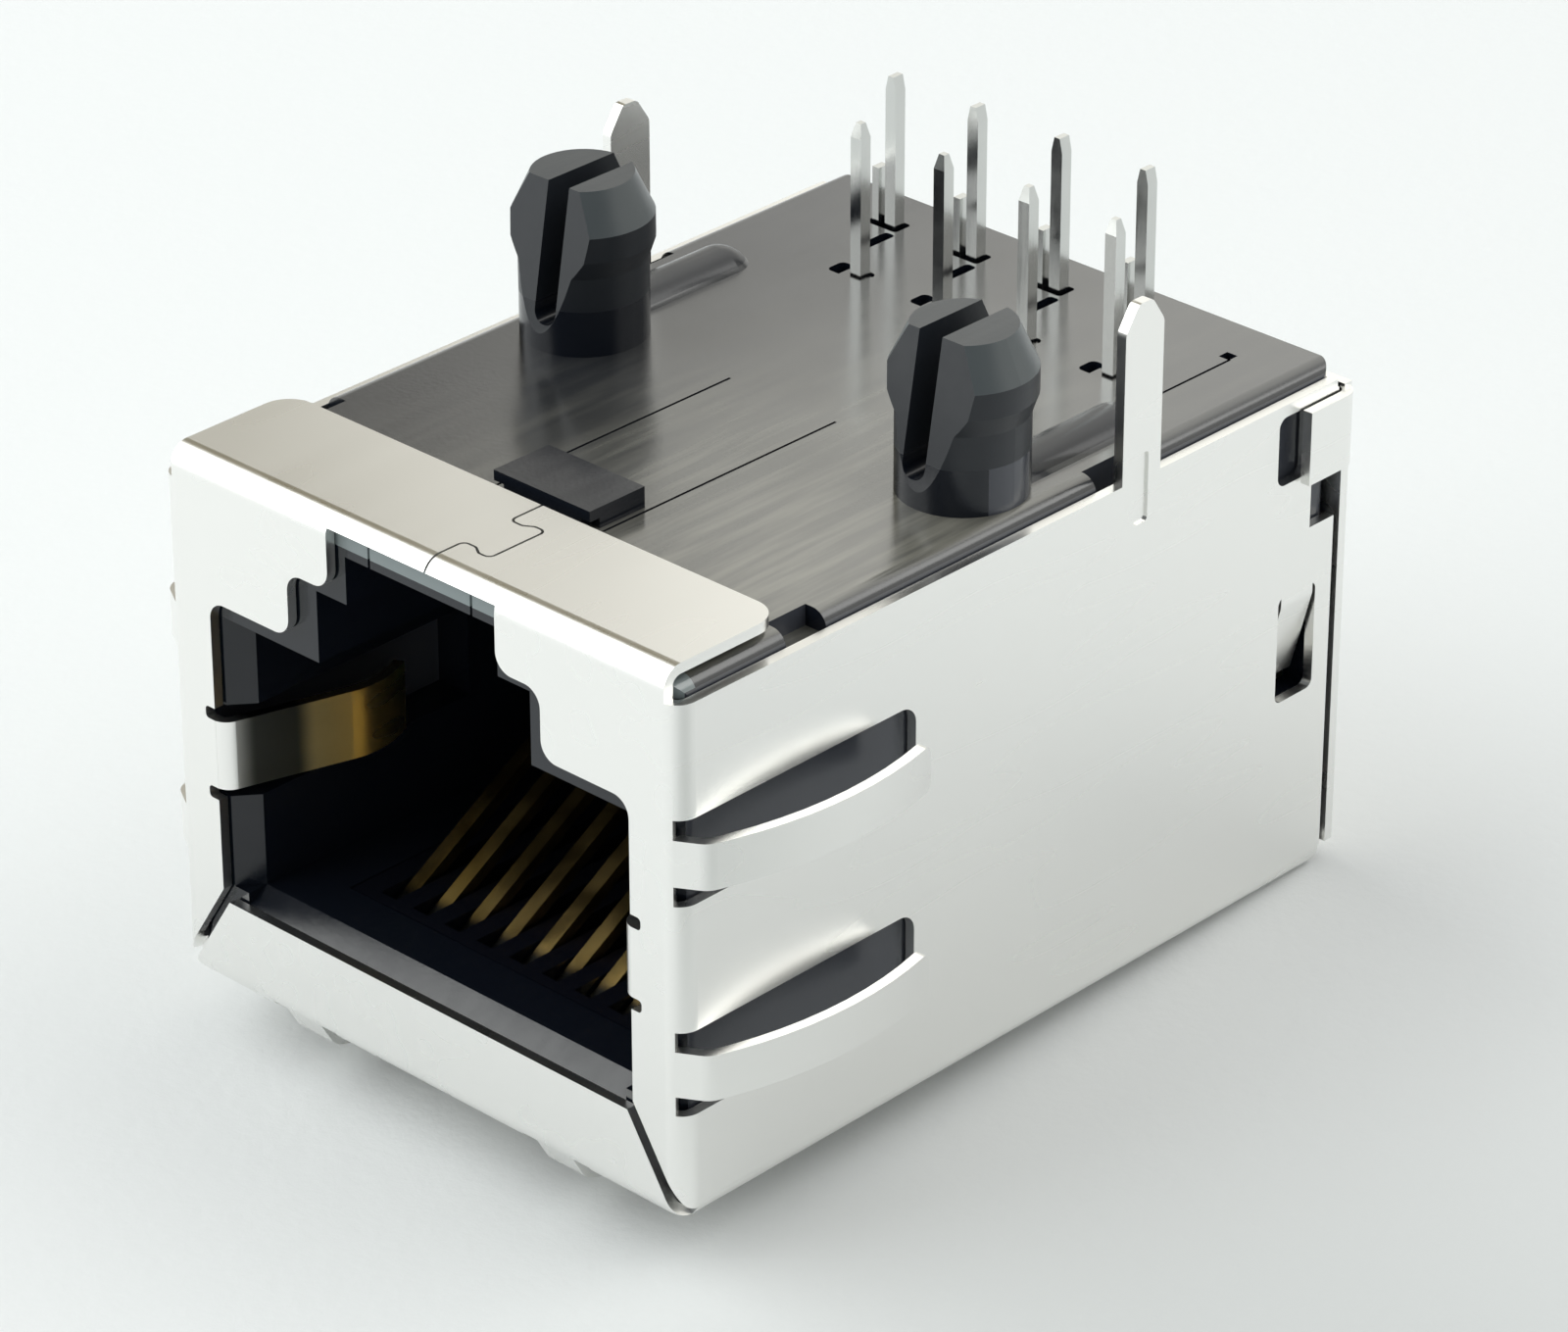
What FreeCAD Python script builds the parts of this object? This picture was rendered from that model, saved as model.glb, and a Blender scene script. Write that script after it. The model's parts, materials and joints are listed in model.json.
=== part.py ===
# Shielded RJ45 board jack with its magnetics, lying on its roof with the solder pins up.
# Millimetres. x runs across, y back from the mouth, z up from the roof towards the board side.
import FreeCAD, Part
import math
import os

V = FreeCAD.Vector
os.makedirs("parts", exist_ok=True)

# Sheet metal and general clearances
sheet = 0.25
bend = 0.5
fit_gap = 0.05
small_round = 0.1
full_round = 0.95  # share of a half width that a rounded end takes
past = 1.0  # how far a cutter runs past the face that it opens
same_place = 1e-6  # points closer together than this count as one

# Plug cavity, measured from the mouth and the roof
cavity_half = 5.9
cavity_floor = 2.55
cavity_height = 6.8
cavity_depth = 13.0
latch_half = 3.25
latch_rise = 1.75
key_half = 2.3
key_rise = 1.15
key_depth = 9.0
lead_in_side = 0.45
lead_in_floor = 0.3
lead_in_depth = 0.55

# Moulded housing round the cavity
key_cover = 0.55
base_thick = 0.8
back_wall = 0.9
side_wall = 0.65
post_edge = 1.835  # from a post's axis out to the side of the housing
edge_round = 0.4
spring_pocket_depth = 7.2
spring_pocket_gap = 0.3
lance_pocket_gap = 0.15
corner_pocket = 0.6
corner_pocket_length = 1.2
corner_pocket_depth = 0.5
tab_pocket = 0.5
notch_line_x = 1.55
notch_line_depth = 0.06

# Snap posts
post_spacing = 11.43
post_radius = 1.48
barb_radius = 1.63
post_tip_radius = 1.18
post_reach = 3.9
post_cone = 0.95
barb_band = 0.6
barb_return = 0.45
post_slot = 0.65
post_slot_shift = 0.15  # how far the slot lies from the post's axis, towards the middle
post_slot_floor = 0.65
post_flat_foot = 0.42
post_flat_tip = 0.88

# Standing features of the board side
rib_width = 1.4
rib_height = 0.4
rib_x = 6.0
rib_reach = 5.3
stop_half = 1.45
stop_gap = 0.4
stop_length = 1.65
stop_rise = 0.5
stop_undercut = 0.3
witness_x = 1.6
witness_past_post = 0.4
witness_width = 0.07
witness_depth = 0.05
gate_x = 5.85
gate_behind_tab = 3.0
gate_length = 2.3
gate_hole = 0.3

# Mouth of the shield, by how far it stands back from the cavity
mouth_lip = 0.5
floor_lip = 0.25
shoulder_lip = 0.6
shoulder_rise = 0.35
notch_lip = 0.25
notch_curl = 0.3
mouth_round = 0.45
mitre_gap = 0.3

# Band on the board side, and the dovetail that locks its two halves
band_clearance = 0.2
band_inset = 0.4
band_depth = 3.5
band_round = 0.7
seam_x = 0.43
seam_gap = 0.06
tongue_neck = 0.37
tongue_slant = 0.23
tongue_head = 0.32
tongue_front = 1.2
tongue_back = 2.55
tongue_flare = 0.15
tongue_round = 0.16

# Grounding fingers, two on each side and two under the roof
finger_slot = 2.04
finger_gap = 0.47
finger_back = 7.15
finger_peak = 4.25
finger_rise = 1.15
finger_leave = 30.0  # degrees of the front bend that a finger follows before it leaves it
finger_knee = 0.4
finger_bow = 9.8
finger_climb = 19.0
finger_fall = 14.0
finger_end_gap = 0.45
finger_tip_round = 0.25
window_round = 0.45
side_finger_z = (3.71, 8.79)
roof_finger_x = 3.95

# Springs inside the mouth that touch the plug
spring_low_gap = 2.6
spring_width = 1.7
spring_in = 1.15
spring_reach = 3.7
spring_curl = 1.0
spring_return = 0.4
spring_bow = 2.0
spring_relief = 0.3

# Side walls, ground tabs and their coined feet
wall_drop = 0.3
tab_behind_post = 3.4
tab_width = 1.25
tab_chamfer = 0.4
tab_shoulder = 0.6
tab_round = 0.3
tab_tip_round = 0.2
coin_width = 0.45
coin_depth = 0.06
coin_below = 1.1
coin_above = 0.6

# Rear flap, its ears, and the openings beside them in the side walls
flap_drop = 0.2
flap_slit = 0.2
ear_drop = 0.3
ear_width = 1.8
ear_reach = 1.75
ear_fold = 0.5
slot_width = 0.75
slot_rise = 0.1
slot_round = 0.25
window_reach = 1.3
window_height = 1.25
lance_to_rear = 1.0
lance_length = 1.3
lance_low = 4.95
lance_high = 7.65
lance_push = 0.55
lance_side_gap = 0.1
lance_end_gap = 0.375
lance_round = 0.2

# Board pins
pin_pitch = 2.54
pins_in_row = 4
front_row_start = -1.25  # first pin of each row, in pitches from the middle
rear_row_start = -1.75
row_spacing = 2.54
row_to_rear = 1.71
post_to_row = 6.35
pin_size = 0.32
pin_tip = 0.16
pin_tip_length = 0.35
pin_reach = 3.8
pin_clear = 0.8
stub_width = 0.2
stub_gap = 0.2
stub_reach = 1.4
stub_depth = 1.6
stub_round = 0.09
pin_hole_gap = 0.12
pin_hole_round = 0.15
pocket_reach = 0.8
slot_aside = 0.25  # from the axis of a rear pin to the middle of the slot in front of it
slot_across = 0.3
slot_start = 0.4
slot_end = 1.37

# Spring contacts
contact_count = 8
contact_pitch = 1.016
contact_width = 0.36
contact_thick = 0.3
contact_leg_z = 1.15
contact_front = 2.63
contact_bend = 0.5
contact_slope = 30.0
contact_rise = 4.8
contact_crest_bend = 1.0
contact_end = 1.1
contact_end_drop = 0.275

# Contact carrier
carrier_edge = 0.844
carrier_low = 0.35
carrier_lip = 0.3
comb_wall = 0.28
comb_gap = 0.07
comb_back = 9.2
shelf_reach = 2.8

# Circuit board and the pieces on it
board_low = 2.0
board_thick = 0.8
board_gap = 0.3
board_hole = 0.32
tail_inset = 0.6
tail_stagger = 0.9
tail_stand = 0.4
core_radius = 2.0
core_bore = 1.0
core_length = 1.5
choke_scale = 0.85
core_x = 3.2
winding_thick = 0.2
winding_angle = 310.0
coil_behind_tail = 1.7
coil_spacing = 2.2
board_behind_coil = 1.0
chamber_behind_board = 0.6
resistor_count = 4
resistor_size = (1.6, 0.8, 0.5)
resistor_pitch = 2.4
resistor_behind_shelf = 0.8
capacitor_size = (4.5, 2.0, 1.4)
capacitor_behind_resistors = 1.7

# Pin base
pin_base_gap = 0.1
pin_base_front_wall = 1.25
pin_base_back_gap = 0.3
boss_drop = 0.06
boss_gap = 0.04
boss_reach = 0.5

# Heights that follow
cavity_top = cavity_floor + cavity_height
latch_top = cavity_top + latch_rise
key_top = latch_top + key_rise
base_height = key_top + key_cover
base_under = base_height - base_thick
shell_height = base_height + band_clearance + sheet
wall_height = base_height - wall_drop
flap_height = wall_height - flap_drop
ear_high = wall_height - ear_drop
ear_low = ear_high - ear_width
post_top = base_height + post_reach
stop_top = base_height + stop_rise
pin_top = base_height + pin_reach
housing_low = sheet + fit_gap
spring_low = cavity_floor + spring_low_gap
spring_high = spring_low + spring_width
board_top = board_low + board_thick
pin_foot = board_top + 2 * (core_radius + winding_thick) + pin_clear
pin_base_low = pin_foot + pin_clear

# Widths that follow
housing_half = post_spacing / 2 + post_edge
inner_half = housing_half + fit_gap
half_width = inner_half + sheet
chamber_half = housing_half - side_wall
mouth_half = cavity_half + mouth_lip
shoulder_half = latch_half + shoulder_lip
notch_half = key_half + notch_lip
spring_pocket_half = mouth_half + mouth_lip
carrier_half = (contact_count - 1) / 2 * contact_pitch + carrier_edge
board_half = chamber_half - board_gap
pin_base_half = chamber_half - pin_base_gap

# Depths that follow
housing_front = sheet + fit_gap
comb_front = contact_front - comb_wall
chamber_front = cavity_depth + back_wall
board_front = chamber_front + board_gap
carrier_back = board_front + shelf_reach
tail_front = board_front + tail_inset
tail_back = tail_front + tail_stagger
transformer_y = tail_back + coil_behind_tail
choke_y = transformer_y + coil_spacing
board_back = choke_y + board_behind_coil
housing_back = board_back + chamber_behind_board
shell_depth = housing_back + fit_gap + sheet
rear_row = shell_depth - row_to_rear
front_row = rear_row - row_spacing
post_line = front_row - post_to_row
tab_mid = post_line + tab_behind_post
tab_front = tab_mid - tab_width / 2
tab_back = tab_mid + tab_width / 2
lance_back = shell_depth - lance_to_rear
lance_front = lance_back - lance_length
resistor_y = carrier_back + resistor_behind_shelf
capacitor_y = resistor_y + capacitor_behind_resistors
far = 2 * shell_depth


def box(x0, x1, y0, y1, z0, z1):
    return Part.makeBox(x1 - x0, y1 - y0, z1 - z0, V(x0, y0, z0))


def mirrored(shape):
    return shape.mirror(V(0, 0, 0), V(1, 0, 0))


def both_sides(shape):
    return [shape, mirrored(shape)]


def save(name, shape):
    """Writes one piece, moved so that the origin is at the bottom centre of the whole jack."""
    placed = shape.copy()
    placed.translate(V(0, -shell_depth / 2, finger_rise))
    placed.exportStep(os.path.join("parts", name + ".step"))


def across(x):
    """Places profile points (y, z) on the plane at x."""
    return lambda y, z: V(x, y, z)


def back(y):
    """Places profile points (x, z) on the plane at y."""
    return lambda x, z: V(x, y, z)


def level(z):
    """Places profile points (x, y) on the plane at z."""
    return lambda x, y: V(x, y, z)


def rectangle(u0, u1, v0, v1, radius):
    """Corners of a rectangle that all have one radius."""
    return [(u0, v0, radius), (u1, v0, radius), (u1, v1, radius), (u0, v1, radius)]


def outline(corners, place):
    """A closed face from corners (u, v, radius), with each corner rounded by its radius."""
    turns = []
    for i, (u, v, radius) in enumerate(corners):
        here = V(u, v, 0)
        before = V(corners[i - 1][0], corners[i - 1][1], 0)
        after = V(corners[(i + 1) % len(corners)][0], corners[(i + 1) % len(corners)][1], 0)
        to_before = (before - here).normalize()
        to_after = (after - here).normalize()
        if radius == 0:
            turns.append((here, None, here))
            continue
        half_angle = to_before.getAngle(to_after) / 2
        run = radius / math.tan(half_angle)
        inward = (to_before + to_after).normalize()
        middle = here + inward * (radius / math.sin(half_angle) - radius)
        turns.append((here + to_before * run, middle, here + to_after * run))
    edges = []
    for i, (start, middle, end) in enumerate(turns):
        if middle is not None:
            arc = Part.Arc(place(start.x, start.y), place(middle.x, middle.y), place(end.x, end.y))
            edges.append(arc.toShape())
        following = turns[(i + 1) % len(turns)][0]
        if end.distanceToPoint(following) > same_place:
            edges.append(Part.makeLine(place(end.x, end.y), place(following.x, following.y)))
    return Part.Face(Part.Wire(edges))


def ribbon(path, thick):
    """Corners of a strip of even thickness whose middle line has the corners (u, v, radius)."""
    sides = ([], [])
    for i, (u, v, radius) in enumerate(path):
        here = V(u, v, 0)
        into = here - V(path[i - 1][0], path[i - 1][1], 0) if i > 0 else None
        out = V(path[i + 1][0], path[i + 1][1], 0) - here if i < len(path) - 1 else None
        into = (into or out).normalize()
        out = (out or into).normalize()
        left = V(-into.y - out.y, into.x + out.x, 0).normalize()
        reach = thick / 2 / math.cos(into.getAngle(out) / 2)
        turn = into.x * out.y - into.y * out.x
        for side, points in ((1, sides[0]), (-1, sides[1])):
            corner = here + left * (side * reach)
            inner = side * turn > 0
            rounding = radius + (-thick / 2 if inner else thick / 2)
            points.append((corner.x, corner.y, rounding if radius > 0 else 0))
    return sides[0] + sides[1][::-1]


def scratch(x, y0, y1):
    """A cutter for a fine line along y in the face of the board side."""
    half = witness_width / 2
    return box(x - half, x + half, y0 - half, y1 + half, base_height - witness_depth, far)


def edges_where(shape, test):
    """Straight edges of a shape whose middle point and direction pass the test."""
    chosen = []
    for edge in shape.Edges:
        if len(edge.Vertexes) == 2:
            run = edge.Vertexes[1].Point - edge.Vertexes[0].Point
            if test(edge.CenterOfMass, run.normalize()):
                chosen.append(edge)
    return chosen


# Shield

def case(offset):
    """The shield's closed form, taken in by an offset, with every folded edge rounded."""
    half = half_width - offset
    low, high = offset, shell_height - offset
    front, rear = offset, shell_depth - offset
    block = box(-half, half, front, rear, low, high)

    def folded(middle, run):
        at_roof = abs(middle.z - low) < same_place
        at_front = abs(middle.y - front) < same_place
        at_wall = abs(abs(middle.x) - half) < same_place
        return at_roof or (at_front and at_wall) or (at_front and abs(run.x) > 0.5)

    return block.makeFillet(bend - offset, edges_where(block, folded))


def mouth():
    """The stepped opening of the mouth, through the front flanges."""
    mouth_top = cavity_top + mouth_lip
    shoulder_top = latch_top + shoulder_rise
    right = [
        (mouth_half, cavity_floor - floor_lip, 0),
        (mouth_half, mouth_top, mouth_round),
        (shoulder_half, mouth_top, mouth_round),
        (shoulder_half, shoulder_top, mouth_round),
        (notch_half, shoulder_top, mouth_round),
        (notch_half, shell_height - notch_curl, 0),
    ]
    left = [(-x, z, radius) for x, z, radius in reversed(right)]
    return outline(right + left, back(-past)).extrude(V(0, past + 2 * sheet, 0))


def board_side_cut():
    """All of the case above the side walls, apart from the band."""
    band_half = half_width - band_inset
    corners = [
        (-band_half, -past, 0),
        (band_half, -past, 0),
        (band_half, band_depth, band_round),
        (-band_half, band_depth, band_round),
    ]
    band = outline(corners, level(0)).extrude(V(0, 0, far))
    return box(-far, far, -past, far, wall_height, far).cut(band)


def seam():
    """The gap between the two halves of the band, round the dovetail."""
    neck = seam_x + tongue_neck
    shoulder = neck + tongue_slant
    tip = shoulder + tongue_head
    path = [
        (seam_x, -past, 0),
        (seam_x, tongue_front, tongue_round),
        (neck, tongue_front, tongue_round),
        (shoulder, tongue_front - tongue_flare, tongue_round),
        (tip, tongue_front - tongue_flare, tongue_round),
        (tip, tongue_back + tongue_flare, tongue_round),
        (shoulder, tongue_back + tongue_flare, tongue_round),
        (neck, tongue_back, tongue_round),
        (seam_x, tongue_back, tongue_round),
        (seam_x, band_depth + past, 0),
    ]
    return outline(ribbon(path, seam_gap), level(wall_height)).extrude(V(0, 0, far))


def mitre():
    """The gap between a side flange and the roof's front strip, out to the corner."""
    inner = V(mouth_half, -past, cavity_floor - floor_lip)
    outer = V(half_width, -past, 0)
    along = (outer - inner).normalize()
    side = V(-along.z, 0, along.x) * (mitre_gap / 2)
    start = inner - along * mitre_gap
    end = outer + along * mitre_gap
    corners = [start + side, end + side, end - side, start - side, start + side]
    return Part.Face(Part.makePolygon(corners)).extrude(V(0, past + bend, 0))


def finger_window():
    """Cutters for one grounding finger, for a wall whose outer face is x = 0."""
    half = finger_slot / 2
    corners = [
        (bend, -half, 0),
        (finger_back, -half, window_round),
        (finger_back, half, window_round),
        (bend, half, 0),
    ]
    window = outline(corners, across(-2 * sheet)).extrude(V(4 * sheet, 0, 0))
    leave = math.radians(finger_leave)
    front = bend - 2 * bend * math.cos(leave)
    wedge = [
        (-bend, bend, 0),
        (2 * bend * math.sin(leave) - bend, front, 0),
        (bend, front, 0),
        (bend, bend + fit_gap, 0),
        (-bend, bend + fit_gap, 0),
    ]
    return [window, outline(wedge, level(-half)).extrude(V(0, 0, finger_slot))]


def finger():
    """One finger for a wall whose outer face is x = 0: up from the front bend, then one long bow."""
    leave, climb, fall = (math.radians(a) for a in (finger_leave, finger_climb, finger_fall))
    middle = bend - sheet / 2
    start = V(middle * math.sin(leave) - bend, bend - middle * math.cos(leave), 0)
    reach = finger_bow / math.cos((climb + fall) / 2)
    lean = (climb - fall) / 2
    centre = V(finger_rise - sheet / 2 - finger_bow, finger_peak, 0)
    top = centre + V(math.cos(lean), -math.sin(lean), 0) * reach
    across_run = top - start
    ramp = (across_run.x * math.cos(climb) - across_run.y * math.sin(climb)) / math.cos(leave + climb)
    knee = start + V(math.cos(leave), math.sin(leave), 0) * ramp
    end = finger_back - finger_end_gap
    path = [
        (start.x, start.y, 0),
        (knee.x, knee.y, finger_knee),
        (top.x, top.y, finger_bow),
        (top.x - (end - top.y) * math.tan(fall), end, 0),
    ]
    half = finger_slot / 2 - finger_gap
    strip = outline(ribbon(path, sheet), level(-half)).extrude(V(0, 0, 2 * half))
    corners = [(0, -half, 0), (end, -half, finger_tip_round), (end, half, finger_tip_round), (0, half, 0)]
    return strip.common(outline(corners, across(-far)).extrude(V(2 * far, 0, 0)))


def on_sides(shape):
    """Copies of a wall feature at each side finger's place."""
    placed = []
    for height in side_finger_z:
        copy = shape.copy()
        copy.translate(V(half_width, 0, height))
        placed += both_sides(copy)
    return placed


def on_roof(shape):
    """Copies of a wall feature at each roof finger's place, turned to face down."""
    copy = shape.copy()
    copy.rotate(V(0, 0, 0), V(0, 1, 0), 90)
    copy.translate(V(roof_finger_x, 0, 0))
    return both_sides(copy)


def plug_spring():
    """The spring folded from the right flange into the mouth, and its relief cuts."""
    fold = sheet + fit_gap
    start_x = mouth_half - fold / 2
    path = [
        (mouth_half + sheet, sheet / 2, 0),
        (start_x, sheet / 2, fold),
        (start_x - spring_in, spring_reach, spring_bow),
        (start_x - spring_in + spring_return, spring_reach + spring_curl, 0),
    ]
    strip = outline(ribbon(path, sheet), level(spring_low)).extrude(V(0, 0, spring_width))
    reliefs = []
    for low in (spring_low - spring_relief, spring_high):
        corners = [
            (mouth_half - past, low, 0),
            (mouth_half + spring_relief, low, small_round),
            (mouth_half + spring_relief, low + spring_relief, small_round),
            (mouth_half - past, low + spring_relief, 0),
        ]
        reliefs.append(outline(corners, back(-past)).extrude(V(0, past + 2 * sheet, 0)))
    return strip, reliefs


def ground_tab():
    """The right ground tab and the coined groove at its foot."""
    corners = [
        (tab_front, wall_height - sheet, 0),
        (tab_front, post_top - tab_shoulder, tab_round),
        (tab_front + tab_chamfer, post_top, tab_tip_round),
        (tab_back - tab_chamfer, post_top, tab_tip_round),
        (tab_back, post_top - tab_shoulder, tab_round),
        (tab_back, wall_height - sheet, 0),
    ]
    tab = outline(corners, across(inner_half)).extrude(V(sheet, 0, 0))
    half = coin_width / 2
    low, high = wall_height - coin_below, wall_height + coin_above
    groove_corners = rectangle(tab_mid - half, tab_mid + half, low, high, half / 2)
    coin = outline(groove_corners, across(half_width - coin_depth)).extrude(V(2 * coin_depth, 0, 0))
    return tab, coin


def rear_openings():
    """Cuts in the right side wall near the rear flap, and the slit that frees the flap."""
    inside = inner_half - sheet
    through = V(3 * sheet, 0, 0)
    flap_front = shell_depth - sheet
    ear_front = shell_depth - ear_reach
    slot = rectangle(ear_front - slot_width, ear_front + sheet, ear_low + slot_rise, ear_high, slot_round)
    window_high = ear_low - fit_gap
    lance = rectangle(lance_front, lance_back, lance_low, lance_high, lance_round)
    return [
        outline(slot, across(inside)).extrude(through),
        outline(lance, across(inside)).extrude(through),
        box(inside, far, shell_depth - window_reach, flap_front, window_high - window_height, window_high),
        box(inside, far, flap_front - flap_slit, flap_front, 0, far),
        box(half_width - bend, far, shell_depth - bend, far, -past, bend + fit_gap),
    ]


def lance_tab():
    """The tab lanced inward from the right side wall, free at its lower end."""
    mid = half_width - sheet / 2
    path = [
        (mid, lance_high + sheet, 0),
        (mid, lance_high - sheet, sheet),
        (mid - lance_push, lance_low + lance_end_gap, 0),
    ]
    strip = outline(ribbon(path, sheet), back(lance_front + lance_side_gap))
    return strip.extrude(V(0, lance_length - 2 * lance_side_gap, 0))


def ears():
    """The strip of the rear flap whose two ends fold forward over the side walls."""
    reach = half_width + fit_gap + sheet

    def strap(offset):
        half = reach - offset
        rear = shell_depth - offset
        block = box(-half, half, shell_depth - ear_reach, rear, ear_low, ear_high)

        def folded(middle, run):
            return abs(run.z) > 0.5 and abs(middle.y - rear) < same_place

        return block.makeFillet(ear_fold - offset, edges_where(block, folded))

    return strap(0).cut(strap(sheet))


def make_shield():
    shell = case(0).cut(case(sheet))
    spring, reliefs = plug_spring()
    tab, coin = ground_tab()
    cuts = [mouth(), board_side_cut(), seam(), box(-far, far, shell_depth - bend, far, flap_height, far)]
    cuts += both_sides(mitre())
    for cut in finger_window():
        cuts += on_sides(cut) + on_roof(cut)
    for cut in reliefs + rear_openings():
        cuts += both_sides(cut)
    shell = shell.cut(cuts)
    added = on_sides(finger()) + on_roof(finger())
    added += both_sides(spring) + both_sides(tab) + both_sides(lance_tab()) + [ears()]
    shell = shell.multiFuse(added).removeSplitter()
    return shell.cut(both_sides(coin))


# Housing

def post():
    """The right snap post, split along y, with a flat on its front."""
    x = post_spacing / 2
    barb_high = post_top - post_cone
    barb_low = barb_high - barb_band
    profile = [
        (0, base_under),
        (post_radius, base_under),
        (post_radius, barb_low - barb_return),
        (barb_radius, barb_low),
        (barb_radius, barb_high),
        (post_tip_radius, post_top),
        (0, post_top),
    ]
    points = [V(r, 0, z) for r, z in profile]
    body = Part.Face(Part.makePolygon(points + points[:1])).revolve(V(0, 0, 0), V(0, 0, 1), 360)
    body.translate(V(x, post_line, 0))
    half = post_slot / 2
    middle = x - post_slot_shift
    floor = base_height + post_slot_floor
    slot_corners = [
        (middle - half, floor, half * full_round),
        (middle + half, floor, half * full_round),
        (middle + half, far, 0),
        (middle - half, far, 0),
    ]
    slot = outline(slot_corners, back(0)).extrude(V(0, far, 0))
    front = post_line - post_radius
    flat_corners = [
        (front - past, base_height + post_flat_foot, 0),
        (front, base_height + post_flat_foot, 0),
        (post_line - post_flat_tip, post_top, 0),
        (post_line - post_flat_tip, far, 0),
        (front - past, far, 0),
    ]
    flat = outline(flat_corners, across(x - 2 * barb_radius)).extrude(V(4 * barb_radius, 0, 0))
    return body.cut([slot, flat])


def rib():
    """The half-round rib behind the right post."""
    half = rib_width / 2
    radius = (half * half + rib_height * rib_height) / (2 * rib_height)
    sunk = base_height + rib_height - radius
    length = rib_reach - half
    bar = Part.makeCylinder(radius, length, V(rib_x, post_line, sunk), V(0, 1, 0))
    end = Part.makeSphere(radius, V(rib_x, post_line + length, sunk))
    above = box(0, far, 0, far, base_under, far)
    return bar.fuse(end).common(above)


def stop_block():
    """The raised block behind the band, undercut at the ends of its front."""
    front = band_depth + stop_gap
    block = box(-stop_half, stop_half, front, front + stop_length, key_top, stop_top)
    nicks = []
    for x in (-stop_half, stop_half - stop_undercut):
        nick = box(x, x + stop_undercut, 0, front + stop_undercut, base_height, base_height + stop_rise / 2)
        nicks.append(nick)
    return block.cut(nicks)


def cavity():
    """The plug cavity with its latch steps, its lead-in and its spring pockets."""
    spaces = [
        box(-cavity_half, cavity_half, 0, cavity_depth, cavity_floor, cavity_top),
        box(-latch_half, latch_half, 0, cavity_depth, cavity_floor, latch_top),
        box(-key_half, key_half, 0, key_depth, cavity_floor, key_top),
    ]
    lead_back = housing_front + lead_in_depth
    side_corners = [
        (cavity_half - past, housing_front - past, 0),
        (cavity_half + lead_in_side, housing_front - past, 0),
        (cavity_half + lead_in_side, housing_front, 0),
        (cavity_half, lead_back, 0),
        (cavity_half - past, lead_back, 0),
    ]
    side = outline(side_corners, level(cavity_floor)).extrude(V(0, 0, cavity_height))
    floor_corners = [
        (housing_front - past, cavity_floor + past, 0),
        (housing_front - past, cavity_floor - lead_in_floor, 0),
        (housing_front, cavity_floor - lead_in_floor, 0),
        (lead_back, cavity_floor, 0),
        (lead_back, cavity_floor + past, 0),
    ]
    floor = outline(floor_corners, across(-cavity_half)).extrude(V(2 * cavity_half, 0, 0))
    pocket = box(
        cavity_half - past,
        spring_pocket_half,
        0,
        spring_pocket_depth,
        spring_low - spring_pocket_gap,
        spring_high + spring_pocket_gap,
    )
    return spaces + both_sides(side) + [floor] + both_sides(pocket)


def plate_hole(x0, x1, y0, y1, radius):
    """A cutter right through the base plate."""
    hole = outline(rectangle(x0, x1, y0, y1, radius), level(base_under - past))
    return hole.extrude(V(0, 0, base_thick + 2 * past))


def pin_openings():
    """Holes in the base plate that the board pins pass through."""
    half = pin_size / 2 + pin_hole_gap
    front, rear = front_row - half, front_row + half
    holes = []
    for x in front_pins():
        holes.append(plate_hole(x - pocket_reach, x + half, front, rear, pin_hole_round))
    for x in rear_pins():
        left = x - half - stub_gap - stub_width
        holes.append(plate_hole(left, x + half, rear_row - half, rear_row + half, small_round))
        slot = x + slot_aside
        near, away = rear_row - slot_start, rear_row - slot_end
        holes.append(plate_hole(slot - slot_across / 2, slot + slot_across / 2, away, near, small_round))
    return holes


def board_side_marks():
    """Fine lines of the mould on the board side and on the bar over the notch."""
    witness = scratch(witness_x, band_depth, post_line + witness_past_post)
    gate_front = tab_mid + gate_behind_tab
    gate_back = gate_front + gate_length
    gate = scratch(gate_x, gate_front, gate_back)
    hole = box(gate_x - gate_hole, gate_x, gate_back, gate_back + gate_hole, base_height - gate_hole, far)
    half = witness_width / 2
    line_back = housing_front + notch_line_depth
    line = box(notch_line_x - half, notch_line_x + half, 0, line_back, key_top - past, far)
    return both_sides(witness) + both_sides(line) + [gate, hole]


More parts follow.
